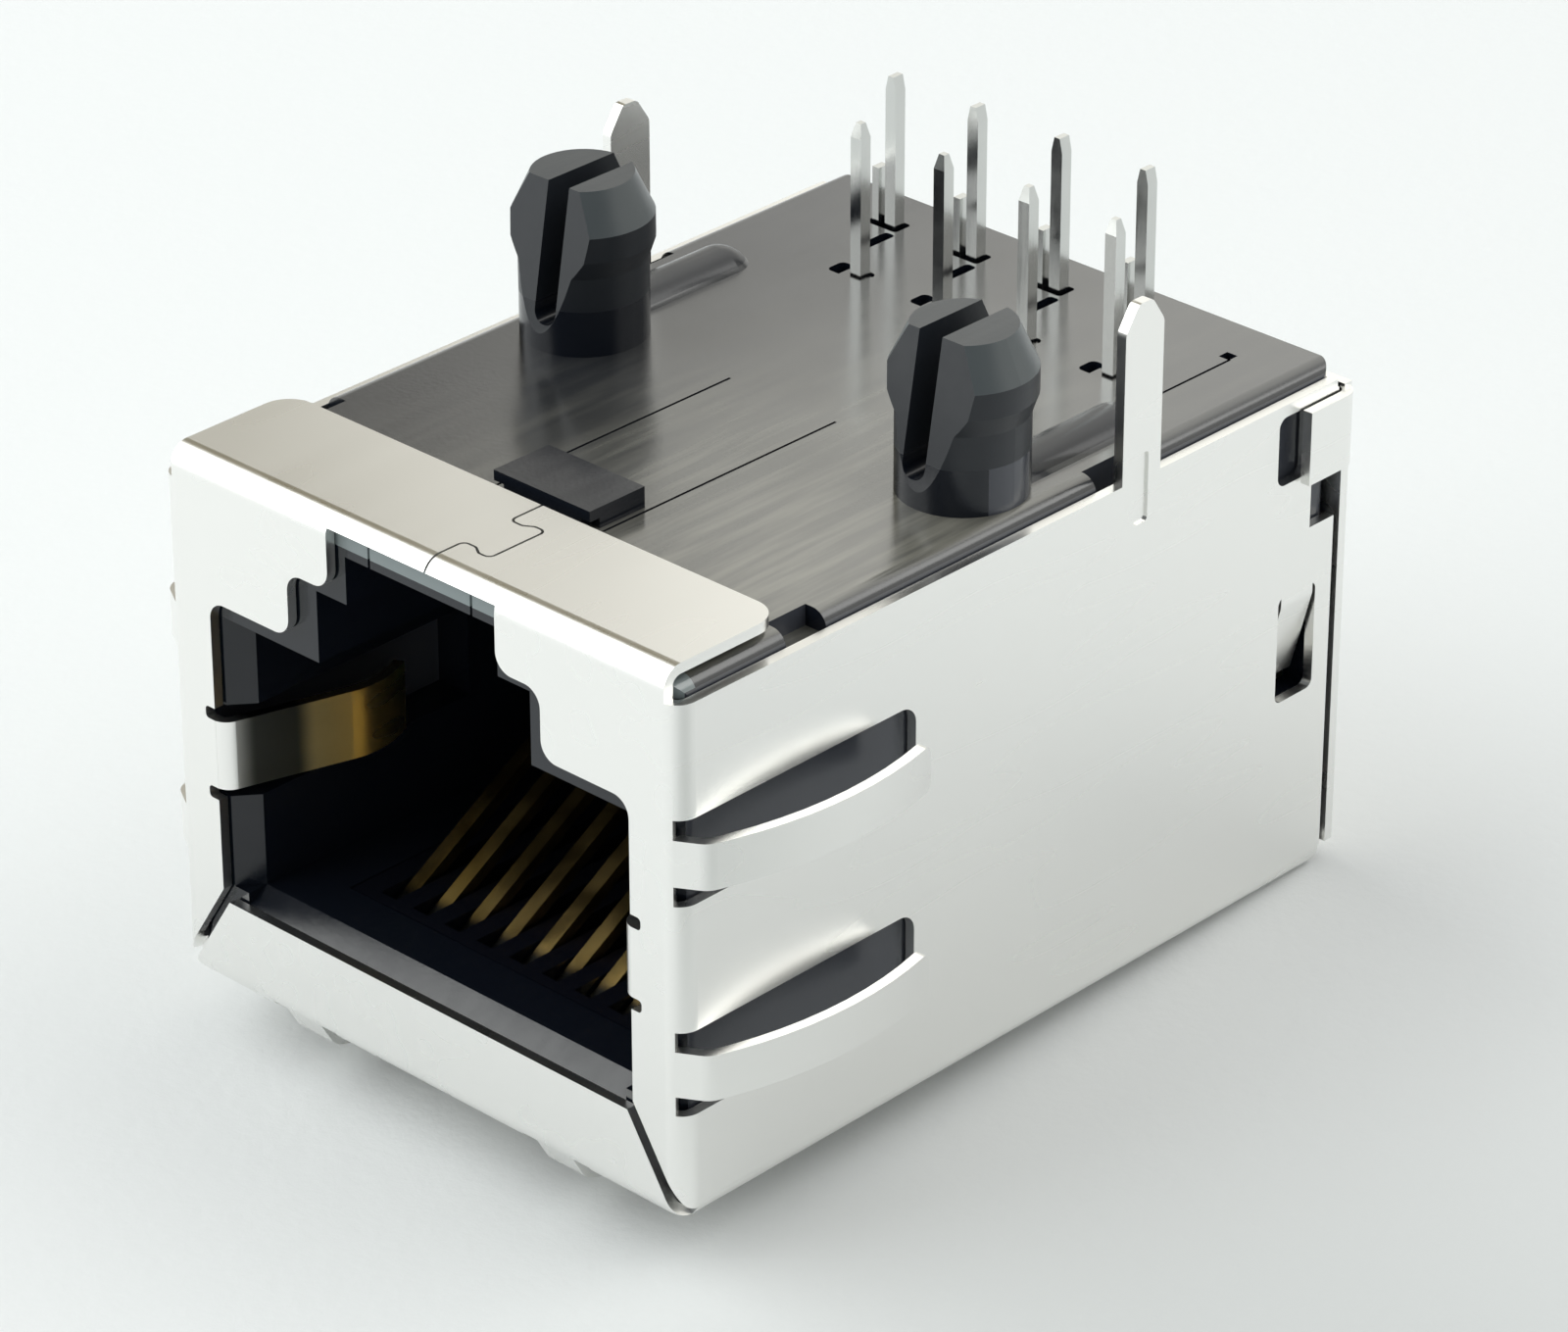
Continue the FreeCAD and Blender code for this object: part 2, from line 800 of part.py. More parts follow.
def make_housing():
    block = box(-housing_half, housing_half, housing_front, housing_back, housing_low, base_height)
    long_edges = edges_where(block, lambda middle, run: abs(run.y) > 0.5 and middle.z > base_under)
    uprights = edges_where(block, lambda middle, run: abs(run.z) > 0.5)
    low_edges = edges_where(block, lambda middle, run: middle.z < base_under and abs(run.z) < 0.5)
    block = block.makeFillet(edge_round, long_edges + uprights + low_edges)
    chamber = box(-chamber_half, chamber_half, chamber_front, far, -past, base_under)
    carrier_side = carrier_half + fit_gap
    carrier_opening = comb_front - carrier_lip - fit_gap
    carrier_window = box(-carrier_side, carrier_side, carrier_opening, far, -past, cavity_floor + past)
    corner_back = band_depth + corner_pocket_length
    corner_low = base_height - corner_pocket_depth
    corner_nook = box(housing_half - corner_pocket, far, band_depth, corner_back, corner_low, far)
    nook_front, nook_back = tab_front - tab_pocket, tab_back + tab_pocket / 2
    tab_nook = box(inner_half - tab_pocket, far, nook_front, nook_back, base_under, far)
    lance_nook = box(
        chamber_half - past,
        far,
        lance_front - lance_pocket_gap,
        lance_back + lance_pocket_gap,
        lance_low - lance_pocket_gap,
        lance_high + lance_pocket_gap,
    )
    cuts = cavity() + [chamber, carrier_window] + pin_openings() + board_side_marks()
    for nook in (corner_nook, tab_nook, lance_nook):
        cuts += both_sides(nook)
    body = block.cut(cuts)
    return body.multiFuse(both_sides(post()) + both_sides(rib()) + [stop_block()]).removeSplitter()


# Board pins

def front_pins():
    return [(i + front_row_start) * pin_pitch for i in range(pins_in_row)]


def rear_pins():
    return [(i + rear_row_start) * pin_pitch for i in range(pins_in_row)]


def square_pin(x):
    """A straight square pin with a tapered tip."""
    half = pin_size / 2
    taper = pin_top - pin_tip_length
    shaft = box(x - half, x + half, front_row - half, front_row + half, pin_foot, taper)
    wires = []
    for reach, z in ((half, taper), (pin_tip / 2, pin_top)):
        corners = [(-reach, -reach), (reach, -reach), (reach, reach), (-reach, reach), (-reach, -reach)]
        wires.append(Part.makePolygon([V(x + u, front_row + v, z) for u, v in corners]))
    return shaft.fuse(Part.makeLoft(wires, True)).removeSplitter()


def forked_pin(x):
    """A square pin of the rear row with a short stub beside it for the coil's wire."""
    half = pin_size / 2
    taper = (pin_size - pin_tip) / 2
    stub_right = x - half - stub_gap
    stub_left = stub_right - stub_width
    stub_top = base_height + stub_reach
    fork = base_height - stub_depth
    corners = [
        (x + half, pin_foot, 0),
        (x + half, pin_top - pin_tip_length, 0),
        (x + half - taper, pin_top, 0),
        (x - half + taper, pin_top, 0),
        (x - half, pin_top - pin_tip_length, 0),
        (x - half, fork + stub_width, stub_round),
        (stub_right, fork + stub_width, stub_round),
        (stub_right, stub_top, 0),
        (stub_left, stub_top, 0),
        (stub_left, fork, 0),
        (x - half, fork, 0),
        (x - half, pin_foot, 0),
    ]
    return outline(corners, back(rear_row - half)).extrude(V(0, pin_size, 0))


def make_pins():
    """The eight pins in order across the jack, rear and front row in turn."""
    pins = [(x, forked_pin(x)) for x in rear_pins()] + [(x, square_pin(x)) for x in front_pins()]
    return [shape for x, shape in sorted(pins, key=lambda item: item[0])]


def make_pin_base(pins):
    front = front_row - pin_base_front_wall
    rear = housing_back - pin_base_back_gap
    block = box(-pin_base_half, pin_base_half, front, rear, pin_base_low, base_under)
    half = pin_size / 2 + pin_hole_gap - boss_gap
    bosses = []
    for x in front_pins():
        corners = rectangle(x - boss_reach, x + half, front_row - half, front_row + half, small_round)
        boss = outline(corners, level(base_under - past))
        bosses.append(boss.extrude(V(0, 0, base_thick + past - boss_drop)))
    return block.multiFuse(bosses).removeSplitter().cut(pins)


# Spring contacts

def contact_xs():
    return [(i - (contact_count - 1) / 2) * contact_pitch for i in range(contact_count)]


def contact_tails():
    """How far back each contact's tail stands, in two rows by turns."""
    return [tail_front if i % 2 == 0 else tail_back for i in range(contact_count)]


def contact(x, tail):
    """One wire: tail up through the board, leg forward under the floor, hairpin, slope back up."""
    slope = math.radians(contact_slope)
    half_turn = (math.pi - slope) / 2
    run = contact_bend * math.tan(half_turn / 2)
    nose_y = contact_front - 2 * run * math.cos(half_turn)
    nose_z = contact_leg_z + 2 * run * math.sin(half_turn)
    crest_y = nose_y + contact_rise
    crest_z = nose_z + contact_rise * math.tan(slope)
    path = [
        (tail, board_top + tail_stand, 0),
        (tail, contact_leg_z, contact_bend),
        (contact_front, contact_leg_z, contact_bend),
        (nose_y, nose_z, contact_bend),
        (crest_y, crest_z, contact_crest_bend),
        (crest_y + contact_end, crest_z - contact_end_drop, 0),
    ]
    return outline(ribbon(path, contact_thick), across(x - contact_width / 2)).extrude(V(contact_width, 0, 0))


def make_contacts():
    return [contact(x, tail) for x, tail in zip(contact_xs(), contact_tails())]


def make_carrier(contacts):
    """Floor insert with a comb for the wires, and a shelf behind for the board."""
    comb = box(-carrier_half, carrier_half, comb_front - carrier_lip, cavity_depth, carrier_low, cavity_floor)
    shelf = box(-carrier_half, carrier_half, cavity_depth - past, carrier_back, carrier_low, board_low)
    body = comb.fuse(shelf).removeSplitter()
    floor = contact_leg_z - contact_thick / 2
    half = contact_width / 2 + comb_gap
    slots = [box(x - half, x + half, comb_front, comb_back, floor, far) for x in contact_xs()]
    return body.cut(slots + contacts)


# Circuit board and what it carries

def make_circuit_board():
    board = box(-board_half, board_half, board_front, board_back, board_low, board_top)
    holes = []
    for x, y in zip(contact_xs(), contact_tails()):
        holes.append(Part.makeCylinder(board_hole, 2 * board_thick, V(x, y, board_low - board_thick / 2)))
    return board.cut(holes)


def ring(x, y, radius, bore, length, centre_z):
    """A ring that stands on edge with its axis along y."""
    start = V(x, y - length / 2, centre_z)
    rim = Part.makeCylinder(radius, length, start, V(0, 1, 0))
    return rim.cut(Part.makeCylinder(bore, length, start, V(0, 1, 0)))


def make_coil(x, y, scale):
    """A ferrite ring and the winding round most of it, standing on the board."""
    radius = core_radius * scale
    bore = core_bore * scale
    length = core_length * scale
    centre_z = board_top + radius + winding_thick
    core = ring(x, y, radius, bore, length, centre_z)
    half = length / 2 + winding_thick
    corners = rectangle(bore - winding_thick, radius + winding_thick, -half, half, 0)
    winding = outline(corners, level(0)).revolve(V(0, 0, 0), V(0, 1, 0), winding_angle)
    winding.rotate(V(0, 0, 0), V(0, 1, 0), 90 - winding_angle / 2)
    winding.translate(V(x, y, centre_z))
    return core, winding.cut(core)


def hung_block(size, x, y):
    """A small part soldered under the board."""
    width, depth, height = size
    return box(x - width / 2, x + width / 2, y - depth / 2, y + depth / 2, board_low - height, board_low)


save("shield", make_shield())
save("housing", make_housing())

pins = make_pins()
save("pin_base", make_pin_base(pins))
for number, shape in enumerate(pins, 1):
    save("pin_%d" % number, shape)

contacts = make_contacts()
save("contact_carrier", make_carrier(contacts))
for number, shape in enumerate(contacts, 1):
    save("contact_%d" % number, shape)

save("circuit_board", make_circuit_board())
for number, x in enumerate((-core_x, core_x), 1):
    for kind, y, scale in (("transformer", transformer_y, 1.0), ("choke", choke_y, choke_scale)):
        core, winding = make_coil(x, y, scale)
        save("%s_core_%d" % (kind, number), core)
        save("%s_winding_%d" % (kind, number), winding)
for number in range(resistor_count):
    x = (number - (resistor_count - 1) / 2) * resistor_pitch
    save("resistor_%d" % (number + 1), hung_block(resistor_size, x, resistor_y))
save("capacitor", hung_block(capacitor_size, 0, capacitor_y))
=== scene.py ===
import json
import math

import bpy
from mathutils import Matrix, Vector

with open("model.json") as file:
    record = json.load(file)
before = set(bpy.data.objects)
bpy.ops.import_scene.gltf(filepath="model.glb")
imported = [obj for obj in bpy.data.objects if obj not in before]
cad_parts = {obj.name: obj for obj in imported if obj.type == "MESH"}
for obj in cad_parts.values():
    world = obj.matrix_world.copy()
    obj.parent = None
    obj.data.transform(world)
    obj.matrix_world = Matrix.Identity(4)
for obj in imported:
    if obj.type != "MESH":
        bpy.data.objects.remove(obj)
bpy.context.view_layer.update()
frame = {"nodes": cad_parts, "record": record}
nodes = frame["nodes"]

MM = 0.001

# Camera, found by matching the jack's edges in a photograph 1600 pixels wide and 1359 high
PHOTO_WIDTH = 1600
PHOTO_HEIGHT = 1359
SENSOR = 36.0
FOCAL_PIXELS = 6537.1
CENTRE_PIXEL = (775.6, 687.5)
VIEW_AZIMUTH = 43.794
VIEW_ELEVATION = 28.506
VIEW_ROLL = -0.202
AIM = Vector((0.0, -0.25, 8.15)) * MM
AIM_OFFSET = Vector((-0.063, 0.642, 143.142)) * MM

# The jack lies on the bows of two grounding fingers and on the rear edge of its roof
BOW_Y = -6.2 * MM
REAR_EDGE_Y = 10.25 * MM
REAR_EDGE_Z = 1.15 * MM
FLOOR_HALF = 900 * MM

# The face of the base, what lies so far below it that it is inside, and the ribs and hook on it
BASE_Z = 13.95 * MM
INSIDE_DEPTH = 1.0 * MM
RIB_Z = 14.55 * MM
RIB_HALF_HEIGHT = 0.5 * MM

# The rim of the housing over the mouth, and its outer side walls
RIM_Y = -9.9 * MM
RIM_Z = 13.6 * MM
OUTER_WALL_X = 6.6 * MM

# The part of the shield that holds the two plug springs, where a dark reflection of the cavity is painted on
# them, and where they turn gold
SPRING_HALF_X = 6.3 * MM
SPRING_LOW_Z = 5.0 * MM
SPRING_HIGH_Z = 8.5 * MM
SPRING_END_Y = -5.0 * MM
PAINTED_DARK_FROM_Y = (-10.6 * MM, -10.0 * MM)
GOLD_FROM_Y = (-9.1 * MM, -8.6 * MM)

# Heights below which the contacts and the pins get painted shade, and how softly it begins
CONTACT_SHADE_BELOW_Z = 3.6 * MM
PIN_SHADE_BELOW_Z = 12.0 * MM
SHADE_EDGE = 0.1 * MM

# A shadow is painted on the paper round this place, to the right of the jack and in front of it
PAINTED_SHADOW_CENTRE = Vector((32.0, -10.0, 0.0)) * MM
PAINTED_SHADOW_REACH = 34.0 * MM

# Round patches of the room: degrees round, degrees up, and half their width in degrees
WALL = (250.0, 36.0, 21.5)
BRIGHT_WALL = (198.0, 30.0, 23.5)
DARK_SIDE = (44.0, 22.0, 52.0)


# Node helpers

def fill(tree, socket, value):
    """Links a socket to another one, or sets its value."""
    if isinstance(value, bpy.types.NodeSocket):
        tree.links.new(value, socket)
    else:
        socket.default_value = value


def add(tree, kind, inputs=None, output=0, **settings):
    """Adds a shader node and returns one of its outputs."""
    node = tree.nodes.new("ShaderNode" + kind)
    for name, value in settings.items():
        setattr(node, name, value)
    for name, value in (inputs or {}).items():
        fill(tree, node.inputs[name], value)
    return node.outputs[output]


def maths(tree, operation, a, b=0.0, clamp=False):
    return add(tree, "Math", {0: a, 1: b}, operation=operation, use_clamp=clamp)


def split(tree, vector):
    """The x, y and z outputs of a vector."""
    node = tree.nodes.new("ShaderNodeSeparateXYZ")
    fill(tree, node.inputs[0], vector)
    return node.outputs


def product(tree, *factors):
    """All the given shares multiplied together."""
    share = factors[0]
    for factor in factors[1:]:
        share = maths(tree, "MULTIPLY", share, factor)
    return share


def position(tree):
    """Place on the jack, in metres."""
    return add(tree, "TexCoord", output="Object")


def stretched(tree, scale):
    """Place on the jack, scaled by a different number along each axis."""
    return add(tree, "Mapping", {"Vector": position(tree), "Scale": scale})


def noise(tree, vector, scale, detail=2.0, roughness=0.5):
    inputs = {"Vector": vector, "Scale": scale, "Detail": detail, "Roughness": roughness}
    return add(tree, "TexNoise", inputs, output="Fac")


def ramp(tree, value, low, high, to_low=0.0, to_high=1.0):
    """Smooth step from to_low to to_high as the value goes from low to high."""
    inputs = {"Value": value, "From Min": low, "From Max": high, "To Min": to_low, "To Max": to_high}
    return add(tree, "MapRange", inputs, interpolation_type="SMOOTHSTEP")


def mix_colour(tree, share, a, b):
    node = tree.nodes.new("ShaderNodeMix")
    node.data_type = "RGBA"
    fill(tree, node.inputs[0], share)
    fill(tree, node.inputs[6], a)
    fill(tree, node.inputs[7], b)
    return node.outputs[2]


def bump(tree, height, distance):
    return add(tree, "Bump", {"Height": height, "Distance": distance}, output="Normal")


def material(name, **uniform):
    """A material whose Principled shader has the given uniform values."""
    made = bpy.data.materials.new(name)
    made.use_nodes = True
    shader = made.node_tree.nodes["Principled BSDF"]
    for socket, value in uniform.items():
        shader.inputs[socket.replace("_", " ")].default_value = value
    return made, made.node_tree, shader


def rgb(red, green, blue):
    return (red, green, blue, 1.0)


# Materials

def shield_sheet():
    """Satin plated sheet with faint rolling marks, a painted dark reflection on the springs near the fold,
    and gold plate at the free ends of the springs.
    """
    made, tree, shader = material("shield_sheet", Metallic=1.0)
    where = position(tree)
    x, y, z = split(tree, where)
    cloud = noise(tree, where, 150.0, 0.0)
    rolled = noise(tree, stretched(tree, (1400.0, 160.0, 1400.0)), 1.0, 0.0)
    plate = mix_colour(tree, cloud, rgb(0.90, 0.90, 0.88), rgb(0.925, 0.92, 0.895))
    inside = maths(tree, "LESS_THAN", maths(tree, "ABSOLUTE", x), SPRING_HALF_X)
    over_floor = maths(tree, "GREATER_THAN", z, SPRING_LOW_Z)
    under_steps = maths(tree, "LESS_THAN", z, SPRING_HIGH_Z)
    near_mouth = maths(tree, "LESS_THAN", y, SPRING_END_Y)
    on_spring = product(tree, inside, over_floor, under_steps, near_mouth)
    gold_share = product(tree, on_spring, ramp(tree, y, *GOLD_FROM_Y))
    # Painted reflection: the springs are painted dark near the fold, in place of their reflection of the
    # black cavity
    painted_dark_share = product(tree, on_spring, ramp(tree, y, *PAINTED_DARK_FROM_Y))
    with_painted_dark = mix_colour(tree, painted_dark_share, plate, rgb(0.12, 0.125, 0.115))
    colour = mix_colour(tree, gold_share, with_painted_dark, rgb(1.0, 0.87, 0.50))
    fill(tree, shader.inputs["Base Color"], colour)
    worn = ramp(tree, cloud, 0.3, 0.7, 0.27, 0.29)
    rough = maths(tree, "ADD", worn, ramp(tree, rolled, 0.2, 0.8, -0.01, 0.01))
    fill(tree, shader.inputs["Roughness"], rough)
    return made


def moulded_black(name, tint, rough_low, rough_high):
    """Black moulded plastic: fine skin, rubbed streaks and a painted sheen on what faces up, painted
    highlights on the rim over the mouth and on the slopes of the posts.
    """
    made, tree, shader = material(name, Coat_IOR=1.56, Coat_Roughness=0.2)
    where = position(tree)
    x, y, z = split(tree, where)
    facing_x, _, facing_z = split(tree, add(tree, "TexCoord", output="Normal"))
    skin = noise(tree, where, 9000.0, 3.0)
    streaks = noise(tree, stretched(tree, (3200.0, 260.0, 3200.0)), 1.0, 3.0)
    cloud = noise(tree, where, 420.0, 3.0)
    up = ramp(tree, facing_z, 0.75, 0.98)
    outside = maths(tree, "GREATER_THAN", z, BASE_Z - INSIDE_DEPTH)
    on_rib = maths(tree, "COMPARE", z, RIB_Z)
    on_rib.node.inputs[2].default_value = RIB_HALF_HEIGHT
    on_post = maths(tree, "GREATER_THAN", z, RIB_Z + RIB_HALF_HEIGHT)
    on_base = product(tree, maths(tree, "SUBTRACT", up, on_rib, True), outside)

    # Faces that look up at the room shine, less inside the mouth, on the ribs and posts and to the left
    open_sky = product(
        tree,
        ramp(tree, outside, 0.0, 1.0, 0.35, 1.0),
        ramp(tree, on_rib, 0.0, 1.0, 1.0, 0.15),
        ramp(tree, on_post, 0.0, 1.0, 1.0, 0.3),
        ramp(tree, x, -6.0 * MM, 4.0 * MM, 0.72, 1.0),
    )
    fill(tree, shader.inputs["Coat Weight"], product(tree, ramp(tree, facing_z, 0.2, 0.45), open_sky))

    # Painted sheen: the base is painted paler towards the right and the front, in place of its reflection of
    # the bright room, over real rubbed streaks
    rightward = ramp(tree, x, -8.0 * MM, 6.0 * MM)
    forward = ramp(tree, y, -2.0 * MM, 8.0 * MM, 1.0, 0.25)
    rubbed_and_sheen = maths(tree, "ADD", product(tree, ramp(tree, streaks, 0.35, 0.75), 0.5), 0.5)
    rubbed_and_sheen = product(tree, rubbed_and_sheen, rightward, forward, on_base)
    colour = mix_colour(tree, rubbed_and_sheen, rgb(*tint), rgb(0.185, 0.18, 0.153))

    # The rim over the mouth gets a painted highlight, the outer side walls are paler, and the slopes of the
    # posts get a painted highlight
    at_mouth = maths(tree, "LESS_THAN", y, RIM_Y)
    # Painted highlight: the rim over the mouth is painted paler
    rim_highlight = product(tree, at_mouth, maths(tree, "GREATER_THAN", z, RIM_Z))
    colour = mix_colour(tree, rim_highlight, colour, rgb(0.20, 0.235, 0.24))
    sideways = maths(tree, "GREATER_THAN", maths(tree, "ABSOLUTE", facing_x), 0.9)
    outer = maths(tree, "GREATER_THAN", maths(tree, "ABSOLUTE", x), OUTER_WALL_X)
    colour = mix_colour(tree, product(tree, sideways, outer), colour, rgb(0.05, 0.054, 0.066))
    # Painted highlight: the sloped tops of the posts are painted paler, in place of the broad highlight they
    # catch
    slope_highlight = product(tree, ramp(tree, facing_z, 0.2, 0.4), ramp(tree, up, 0.0, 1.0, 1.0, 0.3))
    post_colour = mix_colour(tree, slope_highlight, rgb(0.012, 0.015, 0.02), rgb(0.065, 0.077, 0.082))
    colour = mix_colour(tree, on_post, colour, post_colour)
    fill(tree, shader.inputs["Base Color"], colour)

    worn = ramp(tree, cloud, 0.3, 0.7, rough_low, rough_high)
    rough = maths(tree, "ADD", worn, ramp(tree, streaks, 0.3, 0.7, -0.03, 0.03))
    rough = maths(tree, "ADD", rough, product(tree, on_post, 0.2))
    fill(tree, shader.inputs["Roughness"], rough)
    height = maths(tree, "ADD", skin, product(tree, streaks, on_base, 0.5))
    fill(tree, shader.inputs["Normal"], bump(tree, height, 0.002 * MM))
    return made


def plated(name, light, dark, rough, grain_scale, shade_below):
    """Plated wire or strip with fine drawing marks along its length, with painted shade below a height."""
    made, tree, shader = material(name, Metallic=1.0)
    where = position(tree)
    cloud = noise(tree, where, 900.0, 3.0)
    drawn = noise(tree, stretched(tree, grain_scale), 1.0, 2.0)
    height = split(tree, where)[2]
    colour = mix_colour(tree, cloud, dark, light)
    above = ramp(tree, height, shade_below - SHADE_EDGE, shade_below + SHADE_EDGE)
    # Painted shade: below the height the wire is painted near-black, in place of the shade in the slots and
    # inside the housing
    colour = mix_colour(tree, above, rgb(0.05, 0.05, 0.045), colour)
    fill(tree, shader.inputs["Base Color"], colour)
    fill(tree, shader.inputs["Roughness"], ramp(tree, cloud, 0.3, 0.7, rough, rough + 0.08))
    fill(tree, shader.inputs["Normal"], bump(tree, drawn, 0.0015 * MM))
    return made


def board_laminate():
    """Green solder mask over a woven laminate."""
    made, tree, shader = material("board_laminate", Coat_Weight=0.6, Coat_Roughness=0.1)
    where = position(tree)
    cloud = noise(tree, where, 500.0, 3.0)
    weave = noise(tree, stretched(tree, (2600.0, 2600.0, 400.0)), 1.0, 2.0)
    colour = mix_colour(tree, cloud, rgb(0.02, 0.13, 0.05), rgb(0.04, 0.20, 0.08))
    fill(tree, shader.inputs["Base Color"], colour)
    fill(tree, shader.inputs["Roughness"], ramp(tree, weave, 0.3, 0.7, 0.25, 0.4))
    fill(tree, shader.inputs["Normal"], bump(tree, weave, 0.01 * MM))
    return made


def ferrite():
    """Dark sintered ring with a dry, pitted skin."""
    made, tree, shader = material("ferrite")
    where = position(tree)
    pits = noise(tree, where, 5200.0, 4.0, 0.7)
    colour = mix_colour(tree, pits, rgb(0.035, 0.035, 0.038), rgb(0.10, 0.10, 0.105))
    fill(tree, shader.inputs["Base Color"], colour)
    fill(tree, shader.inputs["Roughness"], ramp(tree, pits, 0.3, 0.7, 0.55, 0.75))
    fill(tree, shader.inputs["Normal"], bump(tree, pits, 0.02 * MM))
    return made


def magnet_wire():
    """Enamelled copper wire, wound turn beside turn round the ring."""
    made, tree, shader = material("magnet_wire", Metallic=1.0, Coat_Weight=1.0, Coat_Roughness=0.08)
    where = stretched(tree, (1.0, 0.0, 1.0))
    turns = add(tree, "TexWave", {"Vector": where, "Scale": 1800.0}, output="Fac", wave_type="BANDS")
    shade = noise(tree, position(tree), 1500.0, 2.0)
    colour = mix_colour(tree, shade, rgb(0.50, 0.20, 0.07), rgb(0.72, 0.34, 0.14))
    fill(tree, shader.inputs["Base Color"], colour)
    fill(tree, shader.inputs["Roughness"], ramp(tree, shade, 0.3, 0.7, 0.22, 0.32))
    fill(tree, shader.inputs["Normal"], bump(tree, turns, 0.08 * MM))
    return made


def chip(name, light, dark, rough):
    """Glazed or sintered chip part, a little uneven in colour."""
    made, tree, shader = material(name)
    where = position(tree)
    cloud = noise(tree, where, 2400.0, 4.0)
    fill(tree, shader.inputs["Base Color"], mix_colour(tree, cloud, dark, light))
    fill(tree, shader.inputs["Roughness"], ramp(tree, cloud, 0.3, 0.7, rough, rough + 0.15))
    fill(tree, shader.inputs["Normal"], bump(tree, cloud, 0.006 * MM))
    return made


def slot_materials():
    """One material for each material slot of the record."""
    along_z = (6000.0, 6000.0, 500.0)
    along_y = (6000.0, 500.0, 6000.0)
    made = [
        shield_sheet(),
        moulded_black("housing_plastic", (0.006, 0.008, 0.013), 0.17, 0.24),
        moulded_black("insert_plastic", (0.005, 0.006, 0.010), 0.17, 0.24),
        plated("contact_gold", rgb(0.90, 0.66, 0.26), rgb(0.80, 0.54, 0.18), 0.18, along_y, CONTACT_SHADE_BELOW_Z),
        plated("pin_tin", rgb(0.68, 0.69, 0.67), rgb(0.56, 0.57, 0.56), 0.12, along_z, PIN_SHADE_BELOW_Z),
        board_laminate(),
        ferrite(),
        magnet_wire(),
        chip("chip_resistor", rgb(0.03, 0.03, 0.03), rgb(0.012, 0.012, 0.013), 0.22),
        chip("chip_capacitor", rgb(0.55, 0.42, 0.28), rgb(0.42, 0.30, 0.19), 0.35),
    ]
    return {m.name: m for m in made}


def dress_nodes():
    """Gives every node the material of its slot in the record, in place of its plain one."""
    for plain in list(bpy.data.materials):
        bpy.data.materials.remove(plain)
    finishes = slot_materials()
    slots = {part["node"]: part["material_slot"] for part in frame["record"]["subparts"]}
    for name, piece in nodes.items():
        piece.data.materials.clear()
        piece.data.materials.append(finishes[slots[name]])


# Floor, light and camera

def tilt():
    """Slope of the surface that the jack lies on."""
    return math.atan2(REAR_EDGE_Z, REAR_EDGE_Y - BOW_Y)


def floor_material():
    made, tree, shader = material("pale_paper", Roughness=0.9, Specular_IOR_Level=0.1)
    where = position(tree)
    fibres = noise(tree, where, 2200.0, 4.0, 0.6)
    away = add(tree, "VectorMath", {0: where, 1: PAINTED_SHADOW_CENTRE}, output="Value", operation="DISTANCE")
    # Painted shadow: the paper is painted darker near that place
    out_of_painted_shadow = ramp(tree, away, 0.0, PAINTED_SHADOW_REACH)
    colour = mix_colour(tree, out_of_painted_shadow, rgb(0.47, 0.487, 0.478), rgb(0.78, 0.795, 0.79))
    fill(tree, shader.inputs["Base Color"], colour)
    fill(tree, shader.inputs["Normal"], bump(tree, fibres, 0.02 * MM))
    return made


def make_floor():
    mesh = bpy.data.meshes.new("floor")
    signs = [(-1, -1), (1, -1), (1, 1), (-1, 1)]
    corners = [(across * FLOOR_HALF, along * FLOOR_HALF, 0.0) for across, along in signs]
    mesh.from_pydata(corners, [], [(0, 1, 2, 3)])
    floor = bpy.data.objects.new("floor", mesh)
    bpy.context.collection.objects.link(floor)
    floor.rotation_euler = (tilt(), 0.0, 0.0)
    floor.location = (0.0, BOW_Y, 0.0)
    mesh.materials.append(floor_material())


def towards(azimuth, elevation):
    """Unit vector from the jack to a place so many degrees round and up."""
    turn, lift = math.radians(azimuth), math.radians(elevation)
    return Vector((math.sin(turn) * math.cos(lift), -math.cos(turn) * math.cos(lift), math.sin(lift)))


def patch_share(tree, looking, patch, softness):
    """1 where the world is seen inside a round patch, 0 outside, with a soft edge in degrees."""
    azimuth, elevation, half_width = patch
    both = {0: looking, 1: towards(azimuth, elevation)}
    facing = add(tree, "VectorMath", both, output="Value", operation="DOT_PRODUCT")
    outer = math.cos(math.radians(half_width + softness))
    inner = math.cos(math.radians(half_width - softness))
    return ramp(tree, facing, outer, inner)


def make_world():
    """A pale room whose gloss also shows a dull wall on the left, a bright one behind and a dark front."""
    world = bpy.data.worlds.new("studio")
    bpy.context.scene.world = world
    world.use_nodes = True
    tree = world.node_tree
    background = tree.nodes["Background"]
    looking = add(tree, "TexCoord", output="Generated")
    in_gloss = add(tree, "LightPath", output="Is Glossy Ray")
    wall_share = product(tree, patch_share(tree, looking, WALL, 1.5), in_gloss)
    room = mix_colour(tree, in_gloss, rgb(0.97, 0.99, 0.985), rgb(0.97, 0.965, 0.91))
    colour = mix_colour(tree, wall_share, room, rgb(0.14, 0.11, 0.04))
    bright_share = product(tree, patch_share(tree, looking, BRIGHT_WALL, 2.0), in_gloss)
    colour = mix_colour(tree, bright_share, colour, rgb(1.36, 1.35, 1.27))
    dark_share = product(tree, patch_share(tree, looking, DARK_SIDE, 12.0), in_gloss)
    colour = mix_colour(tree, dark_share, colour, rgb(0.10, 0.11, 0.12))
    fill(tree, background.inputs["Color"], colour)
    fill(tree, background.inputs["Strength"], ramp(tree, in_gloss, 0.0, 1.0, 0.56, 0.93))


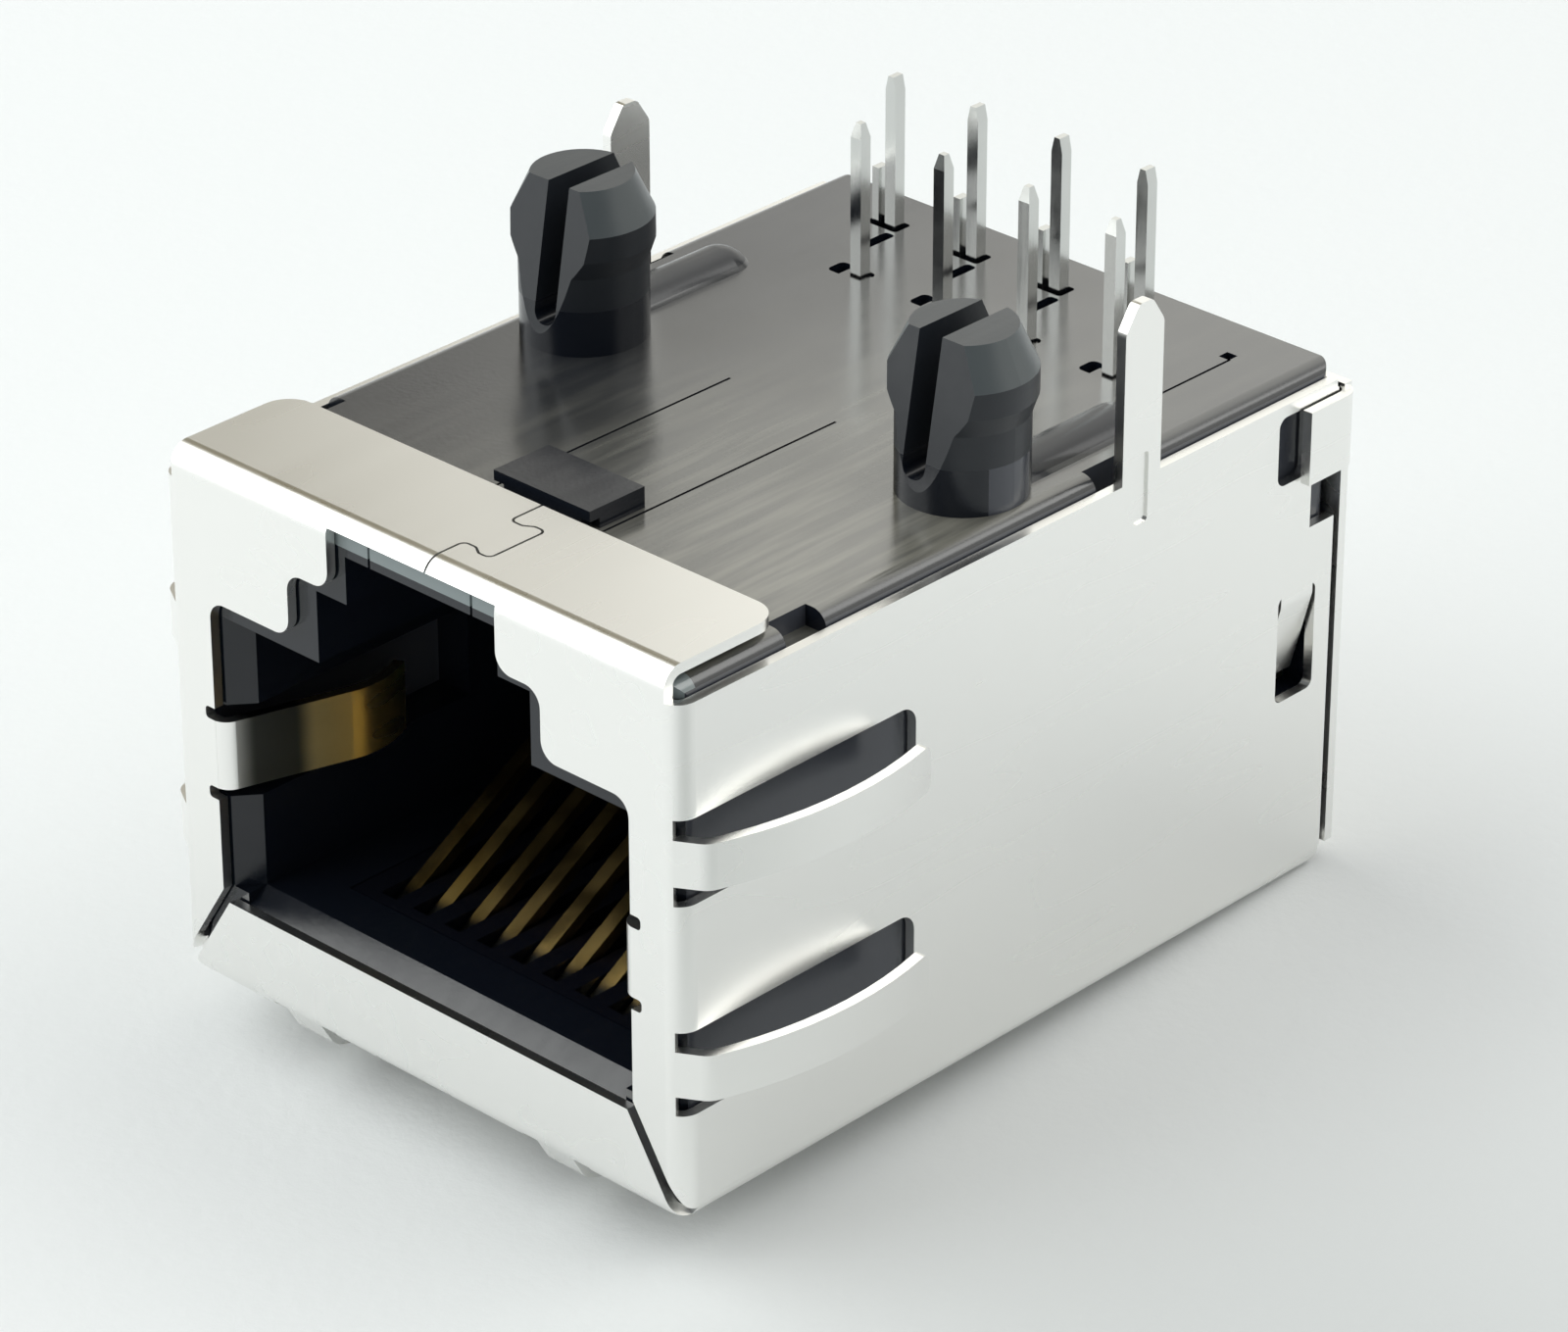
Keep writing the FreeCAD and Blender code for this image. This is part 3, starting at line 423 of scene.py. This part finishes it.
def softbox(name, azimuth, elevation, distance, size, power, tint):
    """A square lamp that faces the jack from so many degrees round and up."""
    data = bpy.data.lights.new(name, "AREA")
    data.shape = "SQUARE"
    data.size = size
    data.energy = power
    data.color = tint
    lamp = bpy.data.objects.new(name, data)
    bpy.context.collection.objects.link(lamp)
    away = towards(azimuth, elevation)
    lamp.location = AIM + away * distance
    lamp.rotation_euler = away.to_track_quat("Z", "Y").to_euler()


def make_lights():
    """Three lamps, each with degrees round and up, distance and size in metres, watts and tint."""
    softbox("window", 306.0, 32.0, 0.45, 0.60, 2.3, (0.97, 1.0, 1.0))
    softbox("far_window", 128.0, 50.0, 0.5, 0.36, 0.8, (1.0, 1.0, 0.98))
    softbox("overhead", 190.0, 62.0, 0.5, 0.35, 0.12, (1.0, 1.0, 0.98))


def make_camera():
    azimuth, elevation, roll = (math.radians(v) for v in (VIEW_AZIMUTH, VIEW_ELEVATION, VIEW_ROLL))
    back = Vector((
        math.sin(azimuth) * math.cos(elevation),
        -math.cos(azimuth) * math.cos(elevation),
        math.sin(elevation),
    ))
    level_right = Vector((0, 0, 1)).cross(back).normalized()
    level_up = back.cross(level_right)
    right = level_right * math.cos(roll) + level_up * math.sin(roll)
    up = level_up * math.cos(roll) - level_right * math.sin(roll)
    data = bpy.data.cameras.new("camera")
    data.sensor_width = SENSOR
    data.lens = FOCAL_PIXELS * SENSOR / PHOTO_WIDTH
    data.shift_x = (PHOTO_WIDTH / 2 - CENTRE_PIXEL[0]) / PHOTO_WIDTH
    data.shift_y = (CENTRE_PIXEL[1] - PHOTO_HEIGHT / 2) / PHOTO_WIDTH
    data.clip_start = 0.01
    camera = bpy.data.objects.new("camera", data)
    bpy.context.collection.objects.link(camera)
    place = AIM - right * AIM_OFFSET.x - up * AIM_OFFSET.y + back * AIM_OFFSET.z
    camera.matrix_world = Matrix.Translation(place) @ Matrix((right, up, back)).transposed().to_4x4()
    bpy.context.scene.camera = camera


dress_nodes()
make_floor()
make_world()
make_lights()
make_camera()
bpy.context.scene.view_settings.view_transform = "Standard"
